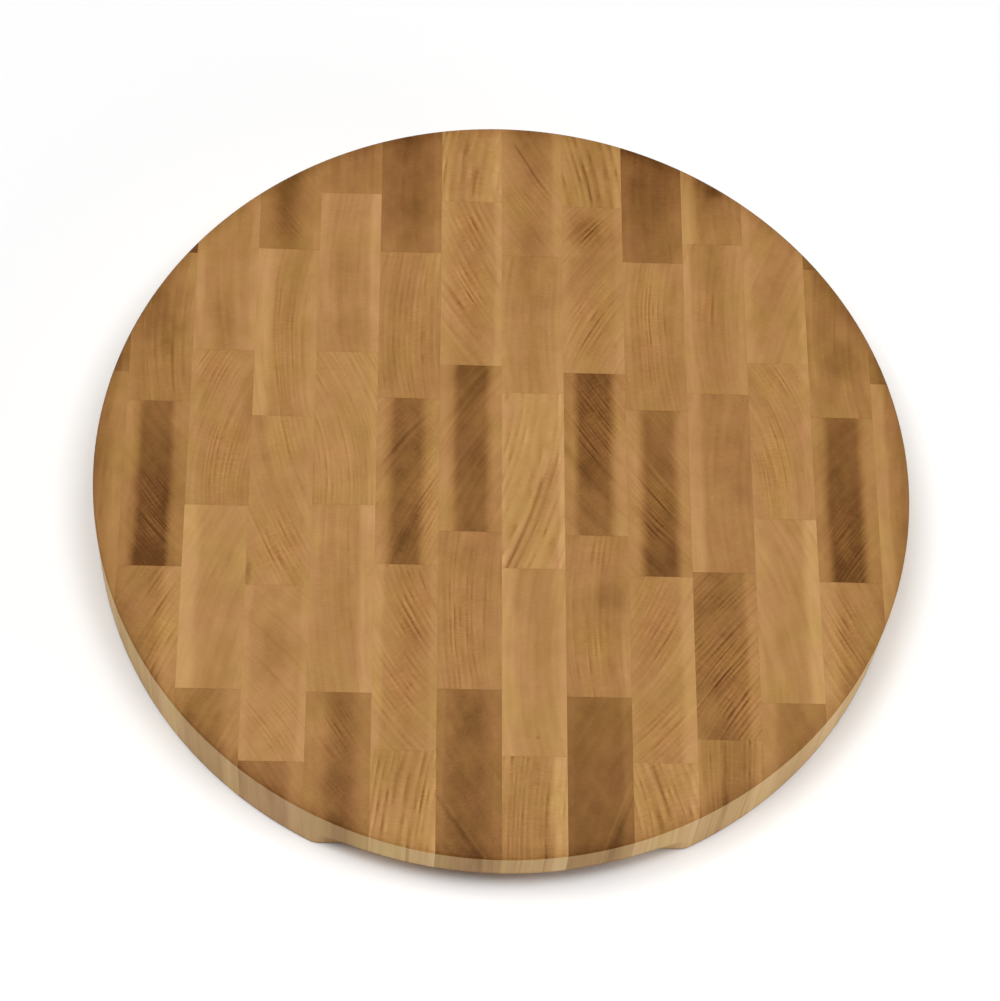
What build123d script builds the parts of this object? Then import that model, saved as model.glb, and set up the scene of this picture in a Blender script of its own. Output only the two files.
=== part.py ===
from build123d import *
import os
from itertools import pairwise

# A round end-grain chopping block. Upright blocks of wood, end grain up, are glued side by side in strips
# that run from the front to the back, and the butt joints of each strip are staggered against those of its
# neighbours. The slab is cut round, a finger recess with a coved top is cut under its front edge and another
# under its back edge, and its edges are chamfered. +X is to the right, +Y to the back and +Z up, and the
# origin is in the middle of the underside.

# The round slab
board_diameter = 400.0
board_thickness = 40.0
top_chamfer = 1.0
underside_chamfer = 1.5

# The finger recesses: how far each reaches in from the rim, its height and the round of the cutter
recess_reach = 20.5
recess_height = 19.0
recess_cove = 12.5

# The lay-up: how many strips wide the round is, and how far to the side of the middle its innermost seam lies
strips_across = 13
middle_seam_x = -0.9

# How far a cut or a blank runs past the finished surface
overrun = 10.0

# Where the butt joints of each strip lie, from the back to the front, as shares of the slab's radius. The
# strips are listed from the middle seam outwards, and the last of each side is the trimmed one at the rim.
left_joint_shares = [
    [0.773, 0.295, -0.164, -0.578],
    [0.618, 0.198, -0.256, -0.736],
    [0.789, 0.325, -0.099, -0.592],
    [0.618, 0.140, -0.318, -0.769],
    [0.322, -0.108, -0.589],
    [0.600, 0.174, -0.274],
    [0.255],
]
right_joint_shares = [
    [0.615, 0.220, -0.260, -0.745],
    [0.766, 0.280, -0.168, -0.592],
    [0.605, 0.180, -0.274, -0.755],
    [0.664, 0.230, -0.260, -0.694],
    [0.321, -0.113, -0.598],
    [0.598, 0.171, -0.279],
    [0.270],
]

# Worked out from the sizes above
board_radius = board_diameter / 2
strip_width = board_diameter / strips_across
past_rim = board_radius + overrun

# The round slab in one piece, from which every block takes its shape
with BuildPart() as slab:
    with BuildSketch():
        Circle(board_radius)
    extrude(amount=board_thickness)

    # The recesses are straight cuts across the strips, which run out at the rim at both ends
    with BuildSketch(Plane.YZ) as recesses:
        with Locations((-past_rim, -overrun)):
            Rectangle(recess_reach + overrun, recess_height + overrun, align=Align.MIN)
        inner_corner = recesses.vertices().group_by(Axis.Y)[-1].sort_by(Axis.X)[-1]
        fillet(inner_corner, recess_cove)
        mirror(about=Plane.YZ)
    extrude(amount=past_rim, both=True, mode=Mode.SUBTRACT)

    # Every edge of the rim and of the underside is chamfered, but not the line where the rim's surface closes
    rim = slab.faces().filter_by(GeomType.CYLINDER).sort_by(SortBy.AREA)[-1]
    top_edge = rim.edges().sort_by(Axis.Z)[-1:]
    closing_line = rim.edges().filter_by(Axis.Z).sort_by(SortBy.LENGTH)[-1:]
    underside = slab.faces().sort_by(Axis.Z)[0]
    lower_edges = {*(rim.edges() - top_edge - closing_line), *underside.edges()}
    chamfer(lower_edges, underside_chamfer)
    chamfer(slab.faces().sort_by(Axis.Z)[-1].edges(), top_chamfer)

os.makedirs("parts", exist_ok=True)

for side, side_name, side_joint_shares in ((-1, "left", left_joint_shares), (1, "right", right_joint_shares)):
    for strip, joint_shares in enumerate(side_joint_shares, start=1):
        inner = middle_seam_x + side * (strip - 1) * strip_width
        outer = inner + side * strip_width
        # The outermost strip is sawn from a stave that runs past the rim
        if strip == len(side_joint_shares):
            outer = side * past_rim
        ends = [past_rim, *(share * board_radius for share in joint_shares), -past_rim]

        for number, (back, front) in enumerate(pairwise(ends), start=1):
            with BuildPart() as block:
                with BuildSketch(Plane(origin=((inner + outer) / 2, (back + front) / 2, 0))):
                    Rectangle(abs(outer - inner), back - front)
                extrude(amount=board_thickness)
                add(slab.part, mode=Mode.INTERSECT)
            block_name = f"{side_name}_{strip}_block_{number}"
            block.part.label = block_name
            export_step(block.part, f"parts/{block_name}.step")
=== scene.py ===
import math
from dataclasses import dataclass

import bpy
from mathutils import Matrix, Vector


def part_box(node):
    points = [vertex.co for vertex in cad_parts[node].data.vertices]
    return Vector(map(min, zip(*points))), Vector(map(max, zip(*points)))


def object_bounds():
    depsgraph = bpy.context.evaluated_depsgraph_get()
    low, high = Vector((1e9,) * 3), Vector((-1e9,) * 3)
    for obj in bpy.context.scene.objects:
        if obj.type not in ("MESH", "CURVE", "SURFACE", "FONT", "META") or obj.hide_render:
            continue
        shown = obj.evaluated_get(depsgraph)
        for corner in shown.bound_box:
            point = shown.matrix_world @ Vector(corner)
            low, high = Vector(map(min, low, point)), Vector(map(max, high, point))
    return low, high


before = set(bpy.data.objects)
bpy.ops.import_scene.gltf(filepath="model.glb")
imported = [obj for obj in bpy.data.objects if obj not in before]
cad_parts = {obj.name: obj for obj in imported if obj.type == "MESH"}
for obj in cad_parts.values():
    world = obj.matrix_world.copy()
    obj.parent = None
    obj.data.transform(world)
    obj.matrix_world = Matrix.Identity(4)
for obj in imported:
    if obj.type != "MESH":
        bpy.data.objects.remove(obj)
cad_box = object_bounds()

# The round end-grain chopping block. Its shape is the sixty glued blocks of the frame, so this file is
# about wood: every block is a piece of its own, with its own rings, heart, sapwood and stains. Lengths are
# in millimetres, apart from those of the floor and the lights, which are in metres. Depth is how deep the
# wood's colour is, from 0, the palest sapwood, to 1, the darkest heart.
METRE = 1000.0
BOARD_RADIUS = cad_box[1].x * METRE

# The colours for each depth, in linear light: of end grain, which drinks oil, and of the paler side grain
END_GRAIN_TONES = (
    (0.00, (0.558, 0.318, 0.120)),
    (0.25, (0.458, 0.246, 0.083)),
    (0.50, (0.353, 0.173, 0.049)),
    (0.75, (0.236, 0.102, 0.024)),
    (1.00, (0.106, 0.036, 0.003)),
)
SIDE_GRAIN_TONES = (
    (0.00, (0.740, 0.530, 0.255)),
    (0.40, (0.655, 0.420, 0.172)),
    (0.75, (0.470, 0.270, 0.094)),
    (1.00, (0.290, 0.145, 0.045)),
)
OLIVE_TINT = (0.98, 1.02, 0.90)
ROSY_TINT = (1.02, 0.98, 1.10)
ORANGE_TINT = (1.06, 0.97, 0.84)


@dataclass
class Patch:
    """A soft round patch: its place as shares of the block's box, its reach each way, and its depth."""

    across: float
    along: float
    wide: float
    long: float
    depth: float


class Cloud(Patch):
    """A stain, darker than the wood round it, or paler where its depth is below zero."""


class Figure(Patch):
    """Here the rings stand out as fine dark lines, crossed by the rays."""


@dataclass
class Vein:
    """One strong line that follows the ring through a place, from a start to an end along the block.

    The place, the start and the end are shares of the block's box."""

    across: float
    along: float
    wide: float
    depth: float
    start: float = -0.1
    end: float = 1.1


# Each block can have so many marks of each kind, and a mark of no depth stands for one that it lacks
MARKS_OF_A_KIND = 2
NO_MARK = {Cloud: Cloud(0.5, 0.5, 1, 1, 0), Figure: Figure(0.5, 0.5, 1, 1, 0), Vein: Vein(0.5, 0.5, 1, 0)}


@dataclass
class Look:
    """How one block looks from above.

    Places are shares of the block's box: across from its left to its right, along from back to front.

    The ground is the depth beside the heart, and the fade is how much deeper the front is than the back.
    The heart is a darker band along the middle. It has a (back, front) pair of places across the block and
    one of strengths, and its width and its soft sides are shares of the block's width. The margins are how
    much paler the left and the right seam are, over so many millimetres.

    The rings lie a gap apart. They lean by so many degrees, to the right at the back where that is above
    zero, and bow round a pith that lies so far to the right of the block's middle, or to the left where
    that is below zero. The line is how much the rings show all over the block, and the streaks are how
    much whole bands of rings differ. Where rosy is above zero the wood is rosy, and below it is olive."""

    ground: float
    heart: float = 0.0
    heart_at: tuple = (0.5, 0.5)
    heart_wide: float = 0.5
    heart_soft: float = 0.25
    heart_ends: tuple = (1.0, 1.0)
    margins: tuple = (0.05, 0.05)
    margins_wide: tuple = (4.0, 4.0)
    fade: float = 0.0
    lean: float = 0.0
    bow: float = 240.0
    gap: float = 2.8
    line: float = 0.05
    rosy: float = 0.0
    streaks: float = 0.8
    marks: tuple = ()


# How each block looks: strip by strip from the middle outwards, from the back to the front
LOOKS = {
    "left_1_block_1": Look(
        ground=0.37, heart=0.04, margins=(0.10, 0.10), fade=-0.08, lean=9, bow=260, gap=4.6, line=0.20,
        marks=(Vein(0.55, 0.75, 1.1, 0.25, 0.45, 1.0), Cloud(0.85, 0.80, 6, 16, -0.10)),
    ),
    "left_1_block_2": Look(
        ground=0.33, heart=0.13, heart_at=(0.48, 0.48), heart_soft=0.6, margins=(0.05, 0.14), lean=-29,
        bow=300, gap=3.2, rosy=0.3,
        marks=(
            Figure(0.45, 0.15, 9, 12, 0.20), Figure(0.45, 0.55, 9, 22, 0.22),
            Cloud(0.50, 0.30, 8, 14, 0.06),
        ),
    ),
    "left_1_block_3": Look(
        ground=0.455, heart=0.35, heart_at=(0.52, 0.51), heart_wide=0.54, heart_soft=0.18,
        heart_ends=(1.0, 0.88), margins=(0.09, 0.06), lean=32, bow=260, gap=2.4, line=0.04,
        marks=(Cloud(0.50, 0.08, 9, 10, 0.10), Cloud(0.80, 0.35, 7, 14, -0.05)),
    ),
    "left_1_block_4": Look(
        ground=0.49, margins=(0.03, 0.02), fade=-0.06, rosy=0.5,
        marks=(Cloud(0.40, 0.18, 6, 8, 0.10), Figure(0.40, 0.60, 9, 34, 0.12)),
    ),
    "left_1_block_5": Look(
        ground=0.73, heart=0.08, margins=(0.10, 0.06), fade=0.13, lean=-30, bow=300, gap=6.0, line=0.04,
        streaks=0.25,
        marks=(
            Vein(0.30, 0.80, 1.1, 0.09, 0.60, 1.1), Vein(0.38, 0.80, 0.6, -0.07, 0.62, 1.1),
            Cloud(0.50, 0.15, 8, 10, 0.07),
        ),
    ),
    "left_2_block_1": Look(
        ground=0.63, heart=0.06, margins=(0.0, 0.10), fade=-0.16, gap=5.0, line=0.03, rosy=0.9,
        streaks=0.3,
        marks=(Cloud(0.50, 0.62, 9, 16, 0.08), Cloud(0.35, 0.12, 12, 9, 0.06)),
    ),
    "left_2_block_2": Look(
        ground=0.44, margins=(0.04, 0.05), fade=0.10, line=0.07, rosy=0.1,
        marks=(Figure(0.60, 0.50, 8, 40, 0.10), Cloud(0.15, 0.85, 6, 10, 0.10)),
    ),
    "left_2_block_3": Look(
        ground=0.47, heart=0.32, heart_at=(0.49, 0.47), heart_wide=0.51, heart_soft=0.20,
        heart_ends=(0.9, 1.05), margins=(0.10, 0.07), lean=32, bow=200, gap=2.3, line=0.06,
        marks=(
            Cloud(0.50, 0.88, 7, 12, 0.07), Figure(0.80, 0.65, 7, 24, 0.14),
            Vein(0.55, 0.20, 0.8, 0.14, 0.05, 0.45),
        ),
    ),
    "left_2_block_4": Look(
        ground=0.41, heart=0.11, heart_at=(0.50, 0.58), heart_soft=0.5, margins=(0.13, 0.08),
        margins_wide=(5, 4), lean=-32, bow=160,
        marks=(
            Figure(0.60, 0.25, 9, 20, 0.20), Figure(0.45, 0.65, 9, 18, 0.16),
            Cloud(0.75, 0.35, 7, 14, 0.06),
        ),
    ),
    "left_2_block_5": Look(
        ground=0.42, margins=(0.04, 0.10), lean=7, bow=400, gap=3.6, line=0.24,
        marks=(Vein(0.42, 0.20, 1.2, 0.22, -0.1, 0.6),),
    ),
    "left_3_block_1": Look(ground=0.54, margins=(0.02, 0.04), fade=-0.07, gap=4.0, line=0.03, rosy=1.0),
    "left_3_block_2": Look(
        ground=0.35, heart=0.05, margins=(0.04, 0.15), margins_wide=(4, 5), fade=0.06, gap=4.0,
        line=0.03, rosy=0.9,
        marks=(Cloud(0.45, 0.50, 8, 14, 0.10), Cloud(0.50, 0.85, 9, 10, 0.09)),
    ),
    "left_3_block_3": Look(
        ground=0.37, margins=(0.0, 0.09), lean=-16, bow=-130, gap=2.4, line=0.09,
        marks=(Figure(0.35, 0.15, 9, 12, 0.08), Figure(0.35, 0.75, 9, 22, 0.09)),
    ),
    "left_3_block_4": Look(
        ground=0.38, heart=0.04, heart_at=(0.45, 0.45), margins=(0.03, 0.16), margins_wide=(4, 7),
        lean=-3, bow=400, gap=3.4, rosy=0.2,
        marks=(Cloud(0.40, 0.45, 9, 24, 0.06), Figure(0.45, 0.15, 8, 16, 0.07)),
    ),
    "left_3_block_5": Look(
        ground=0.56, heart=0.24, heart_at=(0.56, 0.54), heart_wide=0.42, heart_soft=0.32,
        heart_ends=(0.85, 1.20), margins=(0.05, 0.0), lean=-36, bow=300, gap=2.3, line=0.02, streaks=0.3,
        marks=(Figure(0.45, 0.30, 8, 13, 0.09), Cloud(0.20, 0.30, 7, 16, -0.05)),
    ),
    "left_4_block_1": Look(
        ground=0.51, heart=0.25, heart_at=(0.45, 0.45), heart_wide=0.42, heart_soft=0.4,
        margins=(-0.02, 0.08), fade=-0.09, lean=-36, bow=300, gap=2.6, line=0.02, streaks=0.3,
        marks=(Figure(0.45, 0.75, 8, 11, 0.06), Cloud(0.50, 0.45, 7, 9, 0.05)),
    ),
    "left_4_block_2": Look(
        ground=0.33, heart=0.10, heart_at=(0.50, 0.52), heart_wide=0.46, heart_soft=0.4,
        margins=(0.12, 0.04), margins_wide=(8, 4), gap=2.3,
        marks=(Figure(0.48, 0.60, 9, 36, 0.11),),
    ),
    "left_4_block_3": Look(
        ground=0.37, margins=(0.02, 0.05), lean=-22, bow=220,
        marks=(
            Figure(0.50, 0.78, 10, 17, 0.20), Figure(0.55, 0.12, 8, 14, 0.12),
            Cloud(0.03, 0.93, 2, 7, 0.25), Cloud(0.20, 0.25, 6, 14, -0.03),
        ),
    ),
    "left_4_block_4": Look(
        ground=0.40, margins=(0.09, 0.10), lean=-42, bow=-180, gap=2.4, rosy=0.6, streaks=0.4,
        marks=(Cloud(0.50, 0.38, 8, 15, 0.14), Figure(0.55, 0.80, 11, 17, 0.08)),
    ),
    "left_4_block_5": Look(
        ground=0.70, margins=(0.0, 0.18), margins_wide=(4, 8), fade=0.08, lean=-35, bow=300, line=0.03,
        rosy=0.8,
    ),
    "left_5_block_1": Look(
        ground=0.37, heart=0.13, heart_at=(0.48, 0.48), heart_wide=0.4, heart_soft=0.6,
        heart_ends=(0.2, 1.2), margins=(0.06, 0.07), fade=-0.08, gap=4.0, line=0.03, rosy=0.4,
        marks=(Cloud(0.45, 0.80, 8, 13, 0.06),),
    ),
    "left_5_block_2": Look(
        ground=0.45, margins=(0.10, 0.0), margins_wide=(6, 3), lean=15, bow=130, gap=2.4,
        marks=(
            Figure(0.40, 0.12, 9, 13, 0.14), Figure(0.62, 0.68, 9, 22, 0.16),
            Cloud(0.93, 0.30, 5, 14, 0.08),
        ),
    ),
    "left_5_block_3": Look(
        ground=0.35, heart=0.06, heart_at=(0.6, 0.6), margins=(0.19, 0.02), margins_wide=(8, 3),
        fade=0.07, lean=18, bow=300, gap=5.0, line=0.04,
    ),
    "left_5_block_4": Look(
        ground=0.61, heart=0.08, heart_at=(0.40, 0.40), margins=(0.06, 0.18), margins_wide=(5, 8),
        fade=0.08, lean=25, bow=300, gap=6.0, line=0.04,
    ),
    "left_6_block_1": Look(ground=0.86, margins=(0.0, 0.0), line=0.02),
    "left_6_block_2": Look(
        ground=0.52, margins=(0.06, 0.06), gap=3.0, line=0.06,
        marks=(
            Cloud(0.45, 0.45, 9, 18, 0.20), Figure(0.55, 0.80, 8, 14, 0.08),
            Cloud(0.90, 0.15, 7, 12, -0.08),
        ),
    ),
    "left_6_block_3": Look(
        ground=0.56, heart=0.34, heart_at=(0.50, 0.49), heart_wide=0.52, heart_soft=0.17,
        heart_ends=(0.8, 1.15), margins=(0.10, 0.06), fade=0.13, lean=-38, bow=400, gap=1.9, line=0.01,
        streaks=0.5,
        marks=(Figure(0.50, 0.76, 9, 26, 0.14),),
    ),
    "left_6_block_4": Look(
        ground=0.59, margins=(0.0, 0.20), margins_wide=(3, 9), lean=26, bow=260,
        marks=(Figure(0.72, 0.42, 7, 26, 0.16),),
    ),
    "left_7_block_1": Look(ground=0.71, margins=(0.0, 0.05), line=0.03, rosy=-1.2),
    "left_7_block_2": Look(
        ground=0.56, margins=(-0.01, 0.10), margins_wide=(3, 6), gap=4.0, line=0.04, streaks=0.5,
    ),
    "right_1_block_1": Look(
        ground=0.39, heart=0.14, heart_soft=0.5, heart_ends=(1.1, 0.8), margins=(0.04, 0.12),
        margins_wide=(3, 5), fade=-0.06, lean=-32, bow=300, line=0.03, rosy=0.4, streaks=0.5,
        marks=(
            Vein(0.47, 0.32, 0.7, 0.22, 0.08, 0.56), Figure(0.55, 0.55, 8, 14, 0.06),
            Cloud(0.50, 0.08, 10, 8, 0.08), Cloud(0.45, 0.92, 8, 9, 0.07),
        ),
    ),
    "right_1_block_2": Look(
        ground=0.36, heart=0.10, heart_at=(0.44, 0.42), heart_wide=0.45, heart_soft=0.5,
        margins=(0.03, 0.05), fade=-0.09, gap=4.0, line=0.04,
    ),
    "right_1_block_3": Look(
        ground=0.29, margins=(0.09, 0.18), margins_wide=(2.5, 3.0), lean=15, bow=-260, gap=4.2,
        line=0.19,
        marks=(
            Vein(0.36, 0.78, 1.0, 0.40, 0.45, 1.1), Cloud(0.20, 0.75, 5, 12, -0.05),
            Vein(0.56, 0.72, 2.2, 0.18, 0.35, 1.1),
        ),
    ),
    "right_1_block_4": Look(
        ground=0.33, heart=0.11, heart_at=(0.55, 0.50), heart_wide=0.45, heart_soft=0.5,
        margins=(0.11, 0.05), margins_wide=(7, 4), gap=4.6, line=0.03,
        marks=(Cloud(0.55, 0.90, 1, 1, 0.18),),
    ),
    "right_1_block_5": Look(
        ground=0.50, margins=(0.07, 0.34), margins_wide=(4, 7.5), fade=0.12, lean=2, bow=400, line=0.16,
        rosy=-0.2,
    ),
    "right_2_block_1": Look(
        ground=0.36, heart=0.10, heart_at=(0.45, 0.45), heart_wide=0.45, heart_soft=0.5,
        margins=(0.05, 0.11), lean=-13, bow=-260, gap=4.6, line=0.18, rosy=-0.8,
        marks=(Vein(0.45, 0.70, 0.9, 0.18, 0.3, 1.05),),
    ),
    "right_2_block_2": Look(
        ground=0.37, heart=0.10, heart_at=(0.45, 0.50), heart_wide=0.45, heart_soft=0.6,
        margins=(0.05, 0.06), lean=34, bow=220, rosy=0.2,
        marks=(
            Cloud(0.46, 0.15, 9, 10, 0.20), Figure(0.46, 0.15, 10, 10, 0.20),
            Figure(0.45, 0.70, 11, 26, 0.16),
        ),
    ),
    "right_2_block_3": Look(
        ground=0.47, heart=0.34, heart_at=(0.49, 0.47), heart_wide=0.57, heart_soft=0.18,
        heart_ends=(1.08, 0.85), margins=(-0.02, 0.09), margins_wide=(4, 5), fade=-0.11, lean=-38,
        bow=300, gap=2.0, line=0.03,
        marks=(Figure(0.52, 0.30, 10, 22, 0.17), Cloud(0.45, 0.62, 8, 12, 0.05)),
    ),
    "right_2_block_4": Look(
        ground=0.50, margins=(0.03, 0.09), rosy=0.3,
        marks=(
            Cloud(0.72, 0.38, 9, 8, 0.14), Cloud(0.55, 0.50, 8, 8, 0.05),
            Figure(0.50, 0.78, 10, 22, 0.12), Figure(0.60, 0.10, 8, 10, 0.10),
        ),
    ),
    "right_2_block_5": Look(
        ground=0.80, margins=(0.04, 0.10), margins_wide=(3, 5), fade=0.16, lean=25, bow=300, gap=6.0,
        line=0.04, streaks=0.25,
        marks=(
            Vein(0.78, 0.72, 0.6, -0.07, 0.5, 1.1), Vein(0.87, 0.75, 1.0, 0.08, 0.5, 1.1),
            Cloud(0.30, 0.06, 7, 6, 0.08), Cloud(0.25, 0.75, 8, 12, 0.04),
        ),
    ),
    "right_3_block_1": Look(
        ground=0.71, heart=0.06, margins=(0.04, 0.04), fade=-0.22, gap=5.0, line=0.03, rosy=0.6,
        streaks=0.3,
    ),
    "right_3_block_2": Look(
        ground=0.45, fade=0.03, gap=2.6,
        marks=(Figure(0.38, 0.38, 9, 30, 0.14), Cloud(0.75, 0.75, 8, 10, 0.05)),
    ),
    "right_3_block_3": Look(
        ground=0.43, heart=0.33, heart_at=(0.52, 0.52), heart_wide=0.54, heart_soft=0.20,
        heart_ends=(0.88, 1.22), margins=(0.06, 0.03), margins_wide=(6, 5), fade=0.07, lean=-38, bow=300,
        gap=2.0, line=0.04,
        marks=(Figure(0.42, 0.62, 11, 18, 0.12), Cloud(0.50, 0.93, 8, 8, 0.06)),
    ),
    "right_3_block_4": Look(
        ground=0.41, heart=0.07, heart_at=(0.40, 0.40), heart_soft=0.6, margins=(0.03, 0.18),
        margins_wide=(3, 7), lean=35, bow=-190,
        marks=(Figure(0.42, 0.28, 10, 22, 0.18), Figure(0.50, 0.85, 11, 14, 0.16)),
    ),
    "right_3_block_5": Look(
        ground=0.46, margins=(0.07, 0.14), fade=0.06, lean=-15, bow=-300, gap=3.8, line=0.27, rosy=-0.3,
        marks=(Vein(0.42, 0.30, 1.1, 0.22, -0.1, 0.8), Cloud(0.85, 0.25, 7, 12, -0.06)),
    ),
    "right_4_block_1": Look(
        ground=0.52, heart=0.03, margins=(0.24, 0.04), margins_wide=(6.5, 4), fade=-0.15, gap=4.0,
        line=0.06,
        marks=(Cloud(0.55, 0.15, 8, 13, 0.26), Cloud(0.50, 0.50, 7, 10, 0.08)),
    ),
    "right_4_block_2": Look(
        ground=0.35, heart=0.16, heart_at=(0.50, 0.52), heart_wide=0.45, heart_soft=0.4,
        margins=(0.10, 0.05), gap=3.4, rosy=0.2,
        marks=(Cloud(0.50, 0.55, 7, 14, 0.05), Figure(0.35, 0.42, 6, 10, 0.14)),
    ),
    "right_4_block_3": Look(
        ground=0.53, margins=(0.24, 0.0), margins_wide=(7, 3), fade=-0.04, gap=5.0, line=0.03, rosy=0.8,
        marks=(Cloud(0.75, 0.40, 9, 24, 0.07),),
    ),
    "right_4_block_4": Look(
        ground=0.61, heart=0.12, heart_at=(0.42, 0.40), heart_wide=0.55, heart_soft=0.5,
        margins=(-0.02, 0.17), margins_wide=(4, 6), lean=39, bow=400, gap=2.3, line=0.09,
        marks=(Figure(0.42, 0.52, 14, 17, 0.18), Figure(0.70, 0.80, 11, 14, 0.18)),
    ),
    "right_4_block_5": Look(
        ground=0.53, heart=0.12, heart_at=(0.50, 0.48), heart_wide=0.4, heart_soft=0.5,
        margins=(0.08, 0.12), line=0.17,
        marks=(Vein(0.40, 0.50, 1.0, 0.16),),
    ),
    "right_5_block_1": Look(
        ground=0.33, heart=0.10, heart_at=(0.48, 0.48), heart_wide=0.45, heart_soft=0.6,
        margins=(0.07, 0.08), fade=-0.09, lean=25, bow=300, gap=5.0, line=0.04, rosy=0.2,
    ),
    "right_5_block_2": Look(
        ground=0.41, margins=(0.0, 0.08), margins_wide=(3, 5), lean=-15, bow=-130, gap=2.4, rosy=0.1,
        marks=(Figure(0.50, 0.12, 10, 12, 0.14), Figure(0.35, 0.62, 9, 26, 0.16)),
    ),
    "right_5_block_3": Look(
        ground=0.36, heart=0.05, margins=(0.05, 0.22), margins_wide=(3, 7), fade=0.05, lean=-15,
        bow=-200, gap=4.4,
    ),
    "right_5_block_4": Look(
        ground=0.54, heart=0.07, margins=(0.14, 0.0), margins_wide=(8, 3), lean=-25, bow=300, gap=6.0,
        line=0.03, streaks=0.4,
    ),
    "right_6_block_1": Look(ground=0.70, margins=(0.0, 0.0), line=0.02, rosy=-1.6),
    "right_6_block_2": Look(
        ground=0.57, margins=(0.10, 0.03), margins_wide=(5, 4), fade=-0.06, gap=3.0, rosy=-0.2,
        marks=(Cloud(0.52, 0.62, 8, 11, 0.16), Cloud(0.88, 0.20, 6, 14, 0.10)),
    ),
    "right_6_block_3": Look(
        ground=0.55, heart=0.33, heart_at=(0.49, 0.48), heart_wide=0.54, heart_soft=0.17,
        heart_ends=(0.82, 1.15), margins=(0.07, 0.07), margins_wide=(3, 5), fade=0.10, lean=38, bow=400,
        gap=1.9, line=0.01, streaks=0.5,
        marks=(Figure(0.50, 0.76, 9, 24, 0.13),),
    ),
    "right_6_block_4": Look(
        ground=0.51, margins=(0.20, 0.0), margins_wide=(9, 3), lean=-28, bow=260,
        marks=(Figure(0.35, 0.42, 8, 26, 0.14),),
    ),
    "right_7_block_1": Look(ground=0.70, margins=(0.10, 0.0), margins_wide=(5, 4), line=0.03, rosy=-1.6),
    "right_7_block_2": Look(
        ground=0.52, margins=(0.21, -0.02), margins_wide=(7, 4), gap=4.0, line=0.04, streaks=0.5,
    ),
}


@dataclass
class Lumps:
    """The size of a noise's lumps, two ways over the top and down the grain, and how broken they are.

    Where down is 0, the noise is the same all the way down."""

    first: float
    second: float
    down: float = 0.0
    detail: float = 0.0


# A noise node gives values round a half, and this spreads them to about -1 to 1
NOISE_MIDDLE = 0.5
NOISE_SPREAD = 3.0

# The seeds of two blocks lie so far apart that they share no noise
SEED_STEP = 17.3


def feed(tree, slot, value):
    """Gives one input of a node a field's output or a plain number."""
    if isinstance(value, Field):
        tree.links.new(value.socket, slot)
    else:
        slot.default_value = value


class Field:
    """A number that changes from place to place on the wood: one output of a node."""

    def __init__(self, tree, socket):
        self.tree = tree
        self.socket = socket

    def join(self, operation, *others):
        """The Math node of that operation on this field and the others, which are fields or numbers."""
        node = self.tree.nodes.new("ShaderNodeMath")
        node.operation = operation
        for slot, value in zip(node.inputs, (self, *others)):
            feed(self.tree, slot, value)
        return Field(self.tree, node.outputs[0])

    def __add__(self, other):
        return self.join("ADD", other)

    def __sub__(self, other):
        return self.join("SUBTRACT", other)

    def __mul__(self, other):
        return self.join("MULTIPLY", other)

    def __truediv__(self, other):
        return self.join("DIVIDE", other)

    def rise(self, start, end):
        """A smooth climb from 0 where this field is at start to 1 where it is at end."""
        node = self.tree.nodes.new("ShaderNodeMapRange")
        node.interpolation_type = "SMOOTHSTEP"
        for slot, value in zip(node.inputs, (self, start, end)):
            feed(self.tree, slot, value)
        return Field(self.tree, node.outputs[0])

    def bell(self):
        """A round hump, 1 where this field is 0 and a third where it is 1: e to minus its square."""
        return (self * self * -1).join("EXPONENT")


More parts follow.
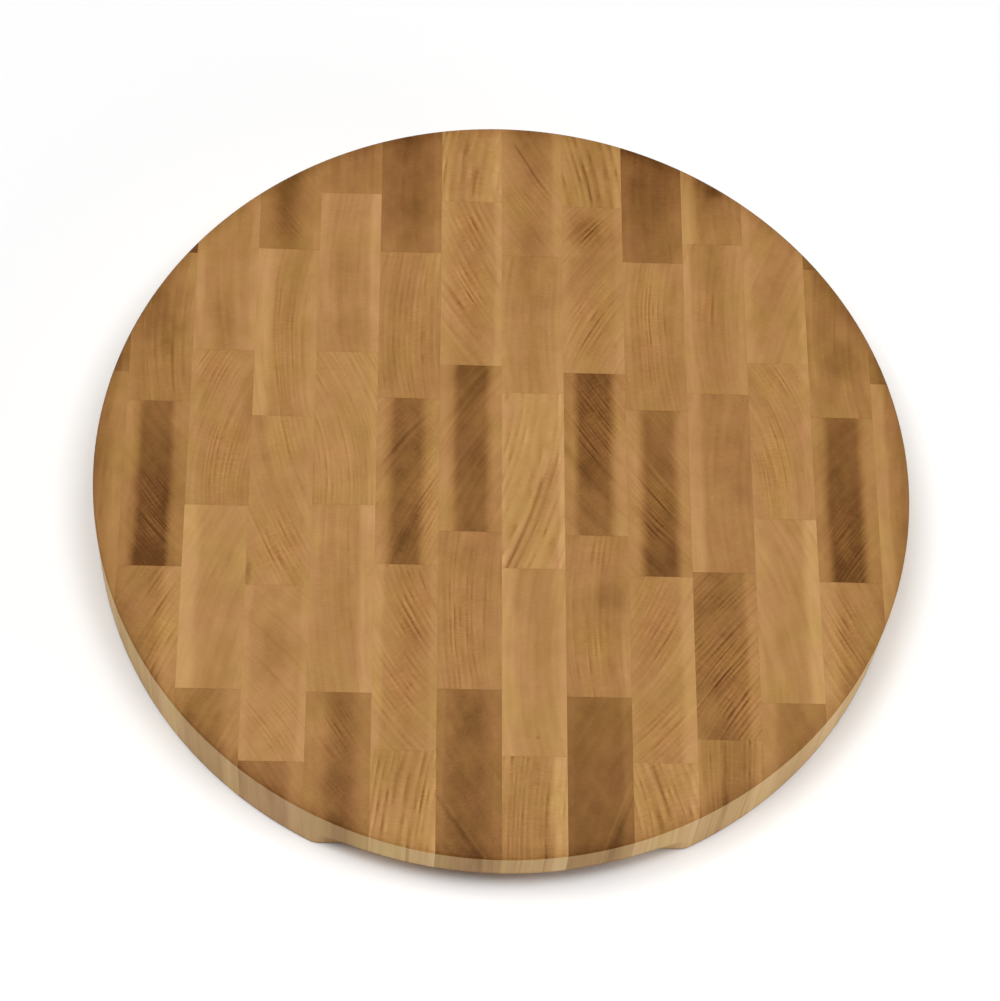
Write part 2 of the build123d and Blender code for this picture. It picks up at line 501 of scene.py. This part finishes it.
class Wood:
    """The node group that draws the wood, while it is made, with the place and what each block gives."""

    def __init__(self):
        self.tree = bpy.data.node_groups.new("block_wood", "ShaderNodeTree")
        self.entry = self.tree.nodes.new("NodeGroupInput")
        self.exit = self.tree.nodes.new("NodeGroupOutput")
        coordinates = self.tree.nodes.new("ShaderNodeTexCoord")
        place = self.tree.nodes.new("ShaderNodeVectorMath")
        place.operation = "SCALE"
        place.inputs["Scale"].default_value = METRE
        self.tree.links.new(coordinates.outputs["Object"], place.inputs[0])
        self.x, self.y, self.z = self.split(place.outputs[0])
        self.facing_up = self.split(coordinates.outputs["Normal"])[2].join("ABSOLUTE")

    def split(self, socket):
        """The three fields of a vector output."""
        node = self.tree.nodes.new("ShaderNodeSeparateXYZ")
        self.tree.links.new(socket, node.inputs[0])
        return [Field(self.tree, output) for output in node.outputs]

    def ask(self, name):
        """The number of that name, which each block gives in its own material."""
        if name not in self.entry.outputs:
            self.tree.interface.new_socket(name, in_out="INPUT", socket_type="NodeSocketFloat")
        return Field(self.tree, self.entry.outputs[name])

    def give(self, name, socket, kind):
        """Hands one result on to the materials."""
        self.tree.interface.new_socket(name, in_out="OUTPUT", socket_type=kind)
        self.tree.links.new(socket, self.exit.inputs[name])

    def noise(self, x, y, lumps):
        """Smooth noise from about -1 to 1 over two fields, with lumps of that size."""
        z = self.ask("seed")
        if lumps.down:
            z = z + self.z / lumps.down
        place = self.tree.nodes.new("ShaderNodeCombineXYZ")
        for slot, value in zip(place.inputs, (x / lumps.first, y / lumps.second, z)):
            feed(self.tree, slot, value)
        node = self.tree.nodes.new("ShaderNodeTexNoise")
        node.inputs["Scale"].default_value = 1.0
        node.inputs["Detail"].default_value = lumps.detail
        self.tree.links.new(place.outputs[0], node.inputs["Vector"])
        return (Field(self.tree, node.outputs[0]) - NOISE_MIDDLE) * NOISE_SPREAD

    def chance(self, whole):
        """A number from 0 to 1 for each whole number of a field, as by a throw of dice."""
        node = self.tree.nodes.new("ShaderNodeTexWhiteNoise")
        node.noise_dimensions = "1D"
        feed(self.tree, node.inputs["W"], whole + self.ask("seed"))
        return Field(self.tree, node.outputs["Value"])

    def tone(self, depth, tones):
        """The colour of a depth, from a table of tones."""
        node = self.tree.nodes.new("ShaderNodeValToRGB")
        stops = node.color_ramp.elements
        for position, _ in tones[len(stops):]:
            stops.new(position)
        for stop, (position, colour) in zip(stops, tones):
            stop.position = position
            stop.color = (*colour, 1)
        feed(self.tree, node.inputs[0], depth)
        return node.outputs["Color"]

    def mix(self, share, first, second, blend="MIX"):
        """A colour some share of the way from the first to the second, or to the product of both.

        It is the product where the blend is MULTIPLY. Each is an output or a plain colour."""
        node = self.tree.nodes.new("ShaderNodeMix")
        node.data_type = "RGBA"
        node.blend_type = blend
        feed(self.tree, node.inputs["Factor"], share)
        for label, colour in (("A", first), ("B", second)):
            if isinstance(colour, tuple):
                node.inputs[label].default_value = (*colour, 1)
            else:
                self.tree.links.new(colour, node.inputs[label])
        return node.outputs["Result"]


# How the rings stray from true circles
STRAY_LUMPS = Lumps(26, 34, 90, 1.0)
STRAY_FAR = 0.6


def ring_places(wood):
    """How far out from the pith a place lies, counted from the block's middle, and how far round the pith.

    The first is the distance from the pith less the bow, with slow noise that bends the rings a little.
    The second is the turn about the pith times the bow."""
    x = wood.x - wood.ask("middle_x")
    y = wood.y - wood.ask("middle_y")
    bow = wood.ask("bow")
    out = x * wood.ask("out_x") + y * wood.ask("out_y") + bow
    on = x * wood.ask("on_x") + y * wood.ask("on_y")
    distance = (out * out + on * on).join("SQRT") - bow
    stray = wood.noise(wood.x, wood.y, STRAY_LUMPS) * STRAY_FAR
    return distance + stray, on.join("ARCTAN2", out) * bow


# The late growth of a ring, as shares of its width, how much paler the early growth is, and how the rings
# differ in width, in strength and in their dashes
LATE_START = 0.15
LATE_FULL = 0.75
LATE_END = 0.8
EARLY_PALER = 0.3
WIDTH_LUMPS = Lumps(3, 90)
WIDTH_CHANGE = 0.7
STRENGTH_LEAST = 0.35
STRENGTH_CHANGE = 0.7
DASH_LUMPS = Lumps(1, 11)
DASH_EDGE = 0.5
DASH_GAP = 0.15


def ring_lines(wood, out, turn):
    """The dark lines of late growth: each ring darkens outwards and ends sharply, broken into dashes.

    How far out a place lies, counted in gaps, has the ring's number as its whole part, and the rest is how
    far through the ring the place lies."""
    rings_out = out / wood.ask("gap")
    count = rings_out + wood.noise(rings_out, turn, WIDTH_LUMPS) * WIDTH_CHANGE
    ring = count.join("FLOOR")
    part = count - ring
    line = part.rise(LATE_START, LATE_FULL) - part.rise(LATE_END, 1.0)
    strength = wood.chance(ring) * STRENGTH_CHANGE + STRENGTH_LEAST
    dash = wood.noise(rings_out, turn, DASH_LUMPS).rise(-DASH_EDGE, DASH_EDGE)
    return (line * strength - EARLY_PALER) * (dash * (1 - DASH_GAP) + DASH_GAP)


# How far a patch's edge is ragged, as a share of the patch
PATCH_RAGGED = 0.3


def patch(wood, label, ragged):
    """A ragged round hump at a mark's place, as high as its depth: e to minus the cube of the way out."""
    x = (wood.x - wood.ask(label + "_x")) / wood.ask(label + "_wide")
    y = (wood.y - wood.ask(label + "_y")) / wood.ask(label + "_long")
    far = (x * x + y * y).join("SQRT") + ragged * PATCH_RAGGED
    return (far * far * far * -1).join("EXPONENT") * wood.ask(label + "_depth")


# Away from the figures the rings show more where the ragged noise is high, and they are less warm there
FAINT_START = -0.2
FAINT_FULL = 0.8
FAINT_LEAST = 0.5
FAINT_WARMTH = 0.4


def figures(wood, ragged):
    """How much the rings stand out, and how warm they are: most in the block's figures, less all over."""
    patches = [patch(wood, f"figure_{number}", ragged) for number in range(MARKS_OF_A_KIND)]
    figured = sum(patches[1:], patches[0])
    faint = (ragged.rise(FAINT_START, FAINT_FULL) + FAINT_LEAST) * wood.ask("line")
    return figured + faint, figured + faint * FAINT_WARMTH


# The heart wanders from side to side, and its sides feather out along the rings
HEART_LUMPS = Lumps(14, 20, 60)
HEART_WANDER = 0.6
FEATHER_LUMPS = Lumps(2, 12, 60, 1.0)
FEATHER_LONG = 0.45
HEART_RAGGED = 0.08


def heart_band(wood, out, turn, ragged):
    """The darker heart along the middle: a band with feathered sides, whose place and strength change.

    It is whole up to its half width less the soft side, and gone from its half width plus the soft side."""
    back, front = wood.ask("back"), wood.ask("front")
    way = (back - wood.y) / (back - front)

    def on_the_way(label):
        """What a number is here, between those that the block gives for its back and its front."""
        at_back = wood.ask(label + "_back")
        return at_back + (wood.ask(label + "_front") - at_back) * way

    wander = wood.noise(wood.x, wood.y, HEART_LUMPS) * HEART_WANDER
    feather = wood.noise(out, turn, FEATHER_LUMPS) * FEATHER_LONG
    off = (wood.x - on_the_way("heart") + wander).join("ABSOLUTE") + feather
    half, soft = wood.ask("heart_half"), wood.ask("heart_soft")
    inside = off.rise(half + soft, half - soft)
    return inside * on_the_way("strong") * (ragged * HEART_RAGGED + 1.0)


# A margin's inner edge wobbles, and fades out between these shares of its width
WOBBLE_LUMPS = Lumps(22, 9)
WOBBLE_FAR = 0.9
MARGIN_FULL = 0.6
MARGIN_GONE = 1.25


def pale_margins(wood):
    """The paler sapwood along the left and the right seam, with an uneven inner edge."""
    wobble = wood.noise(wood.y, wood.x, WOBBLE_LUMPS) * WOBBLE_FAR
    margins = []
    for side, inwards in (("left", 1), ("right", -1)):
        in_from_seam = (wood.x - wood.ask(side)) * inwards + wobble
        wide = wood.ask(side + "_wide")
        share = in_from_seam.rise(wide * MARGIN_GONE, wide * MARGIN_FULL)
        margins.append(share * wood.ask("pale_" + side))
    return margins[0] + margins[1]


# The glue lines at the seams between strips and, stronger, at the butt joints, and how they change
SEAM_WIDE = 0.35
SEAM_DEPTH = 0.05
BUTT_WIDE = 0.7
BUTT_DEPTH = 0.07
GLUE_LUMPS = Lumps(8, 8)
GLUE_CHANGE = 0.4
GLUE_MEAN = 0.8


def glue_lines(wood):
    """The thin dark lines along the four sides of the block's box, deepest at the side itself."""
    seam = (wood.x - wood.ask("left")).join("MINIMUM", wood.ask("right") - wood.x)
    butt = (wood.y - wood.ask("front")).join("MINIMUM", wood.ask("back") - wood.y)
    lines = seam.rise(SEAM_WIDE, 0.0) * SEAM_DEPTH + butt.rise(BUTT_WIDE, 0.0) * BUTT_DEPTH
    return lines * (wood.noise(wood.x, wood.y, GLUE_LUMPS) * GLUE_CHANGE + GLUE_MEAN)


# How long a vein takes to fade in and out
VEIN_TAPER = 8.0


def vein(wood, label, out):
    """One strong line along the ring that the block gives: a bell across it, from its start to its end."""
    off = (out - wood.ask(label + "_ring")) / wood.ask(label + "_wide")
    start, end = wood.ask(label + "_start"), wood.ask(label + "_end")
    ends = wood.y.rise(end, end + VEIN_TAPER) * wood.y.rise(start, start - VEIN_TAPER)
    return off.bell() * ends * wood.ask(label + "_depth")


# How much the bands of rings, the mottle and the rays change the depth, and the painted shade: by how much
# the depth grows with each millimetre to the back, so that the whole top darkens towards the back. The rays
# show most in the figures.
BROAD_LUMPS = Lumps(9, 80, 90)
BROAD_DEPTH = 0.06
NARROW_LUMPS = Lumps(2.4, 45, 90)
NARROW_DEPTH = 0.07
MOTTLE_LUMPS = Lumps(9, 13, 60, 2.0)
MOTTLE_DEPTH = 0.085
RAY_LUMPS = Lumps(4, 0.9, 30)
RAY_DEPTH = 0.015
RAY_FIGURE_DEPTH = 0.2
BACK_PAINTED_SHADE = 0.00016


def grown_depth(wood, out, turn, figure):
    """The depth that a block's growth gives it: its ground, fade, bands of rings, mottle and rays, and the
    painted shade towards the back.
    """
    # The second term is painted shade: the top grows darker towards the back
    fade = (wood.ask("middle_y") - wood.y) * wood.ask("fade") + wood.y * BACK_PAINTED_SHADE
    broad = wood.noise(out, turn, BROAD_LUMPS) * BROAD_DEPTH
    narrow = wood.noise(out, turn, NARROW_LUMPS) * NARROW_DEPTH
    mottle = wood.noise(wood.x, wood.y, MOTTLE_LUMPS) * MOTTLE_DEPTH
    rays = wood.noise(out, turn, RAY_LUMPS) * (figure * RAY_FIGURE_DEPTH + RAY_DEPTH)
    return wood.ask("ground") + fade + (broad + narrow) * wood.ask("streaks") + mottle + rays


# How much darker the top grows towards its edge, and the painted shade along the rim's lower edge: at the
# foot, where the board meets the floor, and on the lips, where they overhang the recesses. The recesses are
# those of the blocks, but 1 mm higher, so that the painted shade is deepest on the lip's chamfer.
TOP_EDGE_DARKENING_WIDE = 8.0
TOP_EDGE_DARKENING_DEPTH = 0.12
FOOT_SHADE_HIGH = 3.5
FOOT_SHADE_DEPTH = 0.4
LIP_SHADE_HIGH = 2.5
LIP_SHADE_DEPTH = 0.28
LIP_SHADE_FADE = 2.0
RECESS_REACH = 20.5
RECESS_TOP = 20.0
RECESS_COVE = 12.5


def top_edge_darkening(wood):
    """The top is a little deeper towards its edge."""
    from_centre = (wood.x * wood.x + wood.y * wood.y).join("SQRT")
    return from_centre.rise(BOARD_RADIUS - TOP_EDGE_DARKENING_WIDE, BOARD_RADIUS) * TOP_EDGE_DARKENING_DEPTH


def painted_lower_edge_shade(wood):
    """Painted shade along the rim's lower edge: a dark line at the foot, and on the lips over the recesses.

    A recess keeps its full height up to where its cove begins, and from there its top falls in a quarter
    circle."""
    # Painted contact shade: a dark line at the foot, where the board meets the floor
    foot = wood.z.rise(FOOT_SHADE_HIGH, 0.0) * FOOT_SHADE_DEPTH
    from_front = wood.y.join("ABSOLUTE") * -1 + BOARD_RADIUS
    into_cove = (from_front - (RECESS_REACH - RECESS_COVE)).join("MAXIMUM", 0.0)
    cove = (into_cove * into_cove * -1 + RECESS_COVE ** 2).join("MAXIMUM", 0.0).join("SQRT")
    # Painted shade on the lips, where they overhang the recesses
    over_recess = wood.z - cove - (RECESS_TOP - RECESS_COVE)
    beside_recess = from_front.rise(RECESS_REACH, RECESS_REACH - LIP_SHADE_FADE)
    return foot + over_recess.rise(LIP_SHADE_HIGH, 0.0) * beside_recess * LIP_SHADE_DEPTH


# A face is side grain up to the first of these and end grain from the second, by how straight up it looks
SIDE_GRAIN_UP_TO = 0.45
END_GRAIN_FROM = 0.65

# How much a block's own rosiness and its rosy patches count beside the mean
ROSY_LUMPS = Lumps(13, 20, 50)
ROSY_PATCHES = 0.5
ROSY_BLOCK = 0.4
ROSY_MEAN = 0.5


def wood_colour(wood, depth, orange):
    """The colour of a depth by the tones of its grain, tinted from olive to rosy and then orange."""
    # Side grain takes the painted shade along its lower edges, and end grain darkens towards the top's edge
    side_grain = wood.tone(depth + painted_lower_edge_shade(wood), SIDE_GRAIN_TONES)
    end_grain = wood.tone(depth + top_edge_darkening(wood), END_GRAIN_TONES)
    colour = wood.mix(wood.facing_up.rise(SIDE_GRAIN_UP_TO, END_GRAIN_FROM), side_grain, end_grain)
    patches = wood.noise(wood.x, wood.y, ROSY_LUMPS) * ROSY_PATCHES
    rosy = wood.mix(patches + (wood.ask("rosy") * ROSY_BLOCK + ROSY_MEAN), OLIVE_TINT, ROSY_TINT)
    colour = wood.mix(1.0, colour, rosy, "MULTIPLY")
    return wood.mix(orange, colour, ORANGE_TINT, "MULTIPLY")


# The ragged noise that patches share, the pores, and what the lines and the pores do to depth, warmth,
# roughness and relief
RAGGED_LUMPS = Lumps(6, 9, 60, 1.0)
PORE_LUMPS = Lumps(0.45, 0.45, 30)
PORE_DEPTH = 0.05
LINE_DEPTH = 1.9
ORANGE_BETWEEN_LINES = 0.8
ORANGE_STRENGTH = 3.0
ROUGHNESS = 0.56
LINE_ROUGHNESS = 0.3
PORE_ROUGHNESS = 0.04
RELIEF_STRENGTH = 0.35
RELIEF_HEIGHT = 0.04


def make_wood():
    """The node group of the wood, which works out its depth and gives its colour, roughness and relief."""
    wood = Wood()
    out, turn = ring_places(wood)
    ragged = wood.noise(wood.x, wood.y, RAGGED_LUMPS)
    figure, warmth = figures(wood, ragged)
    lines = ring_lines(wood, out, turn)
    pores = wood.noise(wood.x, wood.y, PORE_LUMPS)

    depth = grown_depth(wood, out, turn, figure) + lines * figure * LINE_DEPTH + pores * PORE_DEPTH
    depth = depth + heart_band(wood, out, turn, ragged) - pale_margins(wood) + glue_lines(wood)
    for number in range(MARKS_OF_A_KIND):
        depth = depth + patch(wood, f"cloud_{number}", ragged) + vein(wood, f"vein_{number}", out)
    orange = warmth * (lines + ORANGE_BETWEEN_LINES) * ORANGE_STRENGTH
    wood.give("Base Color", wood_colour(wood, depth, orange), "NodeSocketColor")

    roughness = lines * figure * LINE_ROUGHNESS + pores * PORE_ROUGHNESS + ROUGHNESS
    wood.give("Roughness", roughness.socket, "NodeSocketFloat")
    relief = wood.tree.nodes.new("ShaderNodeBump")
    relief.inputs["Strength"].default_value = RELIEF_STRENGTH
    relief.inputs["Distance"].default_value = RELIEF_HEIGHT / METRE
    feed(wood.tree, relief.inputs["Height"], pores)
    wood.give("Normal", relief.outputs["Normal"], "NodeSocketVector")
    return wood.tree


class BlockBox:
    """The box of one block from above, where the shares of a look become places."""

    def __init__(self, name):
        self.low, self.high = (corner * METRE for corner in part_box(name))
        self.middle = (self.low + self.high) / 2
        self.size = self.high - self.low

    def across(self, share):
        """The place that share of the way from the left to the right."""
        return self.low.x + share * self.size.x

    def along(self, share):
        """The place that share of the way from the back to the front."""
        return self.high.y - share * self.size.y


def ring_axes(look):
    """The directions out from the pith and on along the ring at the block's middle, each as x and y."""
    lean = math.radians(look.lean)
    side = -math.copysign(1, look.bow)
    return (side * math.cos(lean), -side * math.sin(lean)), (math.sin(lean), math.cos(lean))


def ring_at(look, x, y):
    """How far out the ring through a place lies, as ring_places has it. The place is from the middle."""
    (out_x, out_y), (on_x, on_y) = ring_axes(look)
    bow = abs(look.bow)
    return math.hypot(x * out_x + y * out_y + bow, x * on_x + y * on_y) - bow


def mark_values(box, look, mark):
    """The numbers of one mark: a vein's ring, start and end, or the place and the reach of a patch."""
    x, y = box.across(mark.across), box.along(mark.along)
    values = {"wide": mark.wide, "depth": mark.depth}
    if isinstance(mark, Vein):
        values["ring"] = ring_at(look, x - box.middle.x, y - box.middle.y)
        values["start"] = box.along(mark.start)
        values["end"] = box.along(mark.end)
    else:
        values["x"] = x
        values["y"] = y
        values["long"] = mark.long
    return values


def block_values(name, look, number):
    """The numbers that one block gives to the node group."""
    box = BlockBox(name)
    (out_x, out_y), (on_x, on_y) = ring_axes(look)
    values = {
        "seed": SEED_STEP * number,
        "left": box.low.x,
        "right": box.high.x,
        "back": box.high.y,
        "front": box.low.y,
        "middle_x": box.middle.x,
        "middle_y": box.middle.y,
        "out_x": out_x,
        "out_y": out_y,
        "on_x": on_x,
        "on_y": on_y,
        "bow": abs(look.bow),
        "gap": look.gap,
        "line": look.line,
        "ground": look.ground,
        "fade": look.fade / box.size.y,
        "rosy": look.rosy,
        "streaks": look.streaks,
        "heart_back": box.across(look.heart_at[0]),
        "heart_front": box.across(look.heart_at[1]),
        "heart_half": look.heart_wide * box.size.x / 2,
        "heart_soft": look.heart_soft * box.size.x / 2,
        "strong_back": look.heart * look.heart_ends[0],
        "strong_front": look.heart * look.heart_ends[1],
        "pale_left": look.margins[0],
        "pale_right": look.margins[1],
        "left_wide": look.margins_wide[0],
        "right_wide": look.margins_wide[1],
    }
    for kind, no_mark in NO_MARK.items():
        marks = [mark for mark in look.marks if isinstance(mark, kind)]
        marks += [no_mark] * (MARKS_OF_A_KIND - len(marks))
        for place, mark in enumerate(marks):
            for label, value in mark_values(box, look, mark).items():
                values[f"{kind.__name__.lower()}_{place}_{label}"] = value
    return values


# Oiled wood has only a weak shine
SPECULAR_LEVEL = 0.15


def dress_blocks():
    """Gives every block of the frame its own wood."""
    wood = make_wood()
    for number, name in enumerate(sorted(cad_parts)):
        material = bpy.data.materials.new(name + "_wood")
        material.use_nodes = True
        tree = material.node_tree
        shader = tree.nodes["Principled BSDF"]
        shader.inputs["Specular IOR Level"].default_value = SPECULAR_LEVEL
        grain = tree.nodes.new("ShaderNodeGroup")
        grain.node_tree = wood
        for label, value in block_values(name, LOOKS[name], number).items():
            grain.inputs[label].default_value = value
        for output in grain.outputs:
            tree.links.new(output, shader.inputs[output.name])
        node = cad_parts[name]
        node.data.materials.clear()
        node.data.materials.append(material)


# The camera, as the photograph was taken: from in front, high above and a little to the left
CAMERA_PLACE = Vector((-68.6, -660.5, 1343.5)) / METRE
CAMERA_ELEVATION = math.radians(63.56)
CAMERA_AZIMUTH = math.radians(-5.914)
CAMERA_ROLL = math.radians(6.601)
CAMERA_LENS = 107.4


def make_camera():
    """The camera's axes: back points from the object to it, and the roll turns right and up about that."""
    flat = math.cos(CAMERA_ELEVATION)
    sine, cosine = math.sin(CAMERA_AZIMUTH), math.cos(CAMERA_AZIMUTH)
    back = Vector((sine * flat, -cosine * flat, math.sin(CAMERA_ELEVATION)))
    level = Vector((cosine, sine, 0))
    upright = back.cross(level)
    right = level * math.cos(CAMERA_ROLL) + upright * math.sin(CAMERA_ROLL)
    up = upright * math.cos(CAMERA_ROLL) - level * math.sin(CAMERA_ROLL)
    turned = Matrix((right, up, back)).transposed().to_4x4()
    camera = bpy.data.objects.new("camera", bpy.data.cameras.new("camera"))
    camera.data.lens = CAMERA_LENS
    camera.matrix_world = Matrix.Translation(CAMERA_PLACE) @ turned
    bpy.context.scene.collection.objects.link(camera)
    bpy.context.scene.camera = camera


# The floor of pale paper, and half its width
FLOOR_HALF = 4.0
FLOOR_COLOUR = (0.93, 0.93, 0.93)
FLOOR_ROUGHNESS = 0.8


def make_floor():
    """A wide plain pale floor."""
    corners = [(x * FLOOR_HALF, y * FLOOR_HALF, 0) for x, y in ((-1, -1), (1, -1), (1, 1), (-1, 1))]
    mesh = bpy.data.meshes.new("floor")
    mesh.from_pydata(corners, [], [(0, 1, 2, 3)])
    floor = bpy.data.objects.new("floor", mesh)
    bpy.context.scene.collection.objects.link(floor)
    material = bpy.data.materials.new("floor_paper")
    material.use_nodes = True
    shader = material.node_tree.nodes["Principled BSDF"]
    shader.inputs["Base Color"].default_value = (*FLOOR_COLOUR, 1)
    shader.inputs["Roughness"].default_value = FLOOR_ROUGHNESS
    mesh.materials.append(material)


# The lights: the place of each, the width of its square, and its power in watts
LIGHTS = {
    "left_light": ((-2.6, -0.4, 8.0), 4.0, 440),
    "right_light": ((2.5, -1.0, 8.0), 4.0, 354),
    "side_light": ((2.4, -1.4, 0.6), 1.2, 12),
}
WORLD_STRENGTH = 0.06


def make_light(name, place, size, power):
    """A soft white square light that is turned to the block."""
    data = bpy.data.lights.new(name, "AREA")
    data.size = size
    data.energy = power
    place = Vector(place)
    light = bpy.data.objects.new(name, data)
    light.matrix_world = Matrix.Translation(place) @ place.to_track_quat("Z", "Y").to_matrix().to_4x4()
    bpy.context.scene.collection.objects.link(light)


def make_studio():
    """Two wide soft lights overhead, a weak one low down at the front right, and a little all round."""
    for name, (place, size, power) in LIGHTS.items():
        make_light(name, place, size, power)
    world = bpy.data.worlds.new("studio")
    world.use_nodes = True
    background = world.node_tree.nodes["Background"]
    background.inputs["Color"].default_value = (1, 1, 1, 1)
    background.inputs["Strength"].default_value = WORLD_STRENGTH
    bpy.context.scene.world = world
    bpy.context.scene.view_settings.view_transform = "Standard"


make_camera()
make_floor()
make_studio()
dress_blocks()
